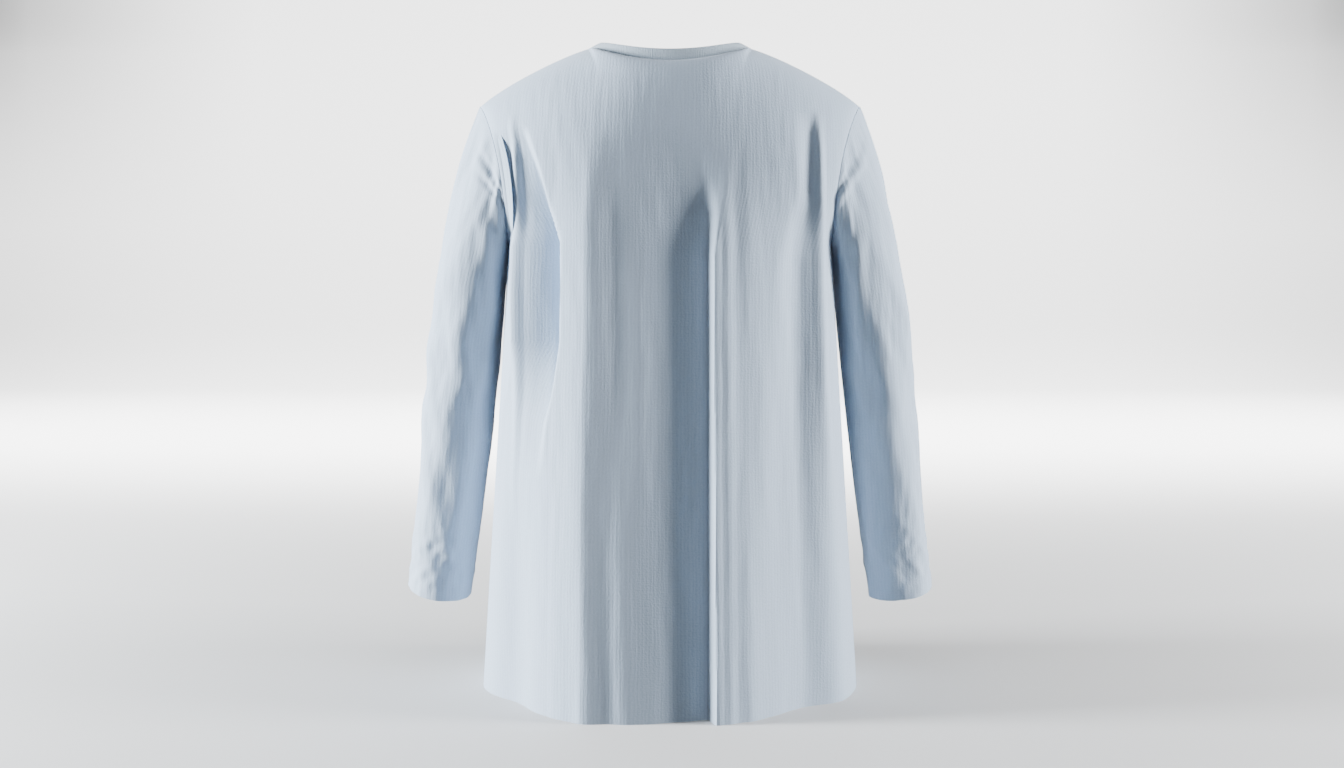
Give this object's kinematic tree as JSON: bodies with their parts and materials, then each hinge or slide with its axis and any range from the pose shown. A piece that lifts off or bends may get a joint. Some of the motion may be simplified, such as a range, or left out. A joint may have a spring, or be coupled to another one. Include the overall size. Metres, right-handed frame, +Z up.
{
  "type": "patient gown",
  "caption": "Long-sleeved light-blue patient gown, standing in its worn shape, with a plain back, a bound neck and a lapped front opening closed by ties.",
  "frame": {"origin": "on the floor, under the middle of the gown's bounding box, which stands on its hem", "axes": "+Z up, +X towards the wearer's right, +Y towards the wearer's front, where the opening is"},
  "size_m": [0.7242, 0.3457, 0.8386],
  "materials": {
    "gown_fabric": "matte, fine upright crinkled ribs",
    "binding_fabric": "matte, smooth weave, edge stitched",
    "seam_allowance": "matte, overlocked",
    "tie_fabric": "matte, folded and edge stitched",
    "label_fabric": "matte, smooth woven"
  },
  "bodies": {
    "body": {"back_panel": "gown_fabric", "left_front_panel": "gown_fabric", "right_front_panel": "gown_fabric", "neck_band_back": "binding_fabric", "left_neck_band": "binding_fabric", "right_neck_band": "binding_fabric", "back_hem": "gown_fabric", "left_front_hem": "gown_fabric", "right_front_hem": "gown_fabric", "left_armhole_seam": "seam_allowance", "right_armhole_seam": "seam_allowance", "left_shoulder_seam": "seam_allowance", "right_shoulder_seam": "seam_allowance", "left_side_seam": "seam_allowance", "right_side_seam": "seam_allowance", "care_label": "label_fabric"},
    "left_flap": {"left_front_flap": "gown_fabric", "left_flap_neck_band": "binding_fabric", "left_flap_facing": "gown_fabric", "left_flap_hem": "gown_fabric", "left_tie_ends": "tie_fabric"},
    "right_flap": {"right_front_flap": "gown_fabric", "right_flap_neck_band": "binding_fabric", "right_flap_facing": "gown_fabric", "right_flap_hem": "gown_fabric", "right_tie_ends": "tie_fabric"},
    "left_sleeve": {"left_sleeve": "gown_fabric", "left_cuff_hem": "gown_fabric"},
    "right_sleeve": {"right_sleeve": "gown_fabric", "right_cuff_hem": "gown_fabric"},
    "left_neck_tie": {"left_neck_tie": "tie_fabric"},
    "right_neck_tie": {"right_neck_tie": "tie_fabric"},
    "left_waist_tie": {"left_waist_tie": "tie_fabric"},
    "right_waist_tie": {"right_waist_tie": "tie_fabric"}
  },
  "joints": [
    {"name": "left_flap_hinge", "type": "hinge", "parent": "body", "child": "left_flap", "pos_m": [-0.125, 0.16038, 0], "axis": [0.0708, -0.0637, 0.9955], "range_deg": [0, 110]},
    {"name": "right_flap_hinge", "type": "hinge", "parent": "body", "child": "right_flap", "pos_m": [0.125, 0.16038, 0], "axis": [0.0708, 0.0637, -0.9955], "range_deg": [0, 40]},
    {"name": "left_sleeve_hinge", "type": "hinge", "parent": "body", "child": "left_sleeve", "pos_m": [-0.251, 0.015, 0.755], "axis": [0, 1, 0], "range_deg": [0, 45]},
    {"name": "right_sleeve_hinge", "type": "hinge", "parent": "body", "child": "right_sleeve", "pos_m": [0.251, 0.015, 0.755], "axis": [0, -1, 0], "range_deg": [0, 45]},
    {"name": "left_neck_tie_hinge", "type": "hinge", "parent": "left_flap", "child": "left_neck_tie", "pos_m": [0.0185, 0.11792, 0.72131], "axis": [1, 0, 0], "range_deg": [0, 90]},
    {"name": "left_waist_tie_hinge", "type": "hinge", "parent": "left_flap", "child": "left_waist_tie", "pos_m": [0.0185, 0.14095, 0.47], "axis": [1, 0, 0], "range_deg": [0, 90]},
    {"name": "right_neck_tie_hinge", "type": "hinge", "parent": "right_flap", "child": "right_neck_tie", "pos_m": [0.0415, 0.11169, 0.72505], "axis": [1, 0, 0], "range_deg": [0, 90]},
    {"name": "right_waist_tie_hinge", "type": "hinge", "parent": "right_flap", "child": "right_waist_tie", "pos_m": [0.0415, 0.13586, 0.47], "axis": [1, 0, 0], "range_deg": [0, 90]}
  ],
  "couplings": [
    {"joint": "right_flap_hinge", "follows": "left_flap_hinge", "ratio": 0.35}
  ]
}
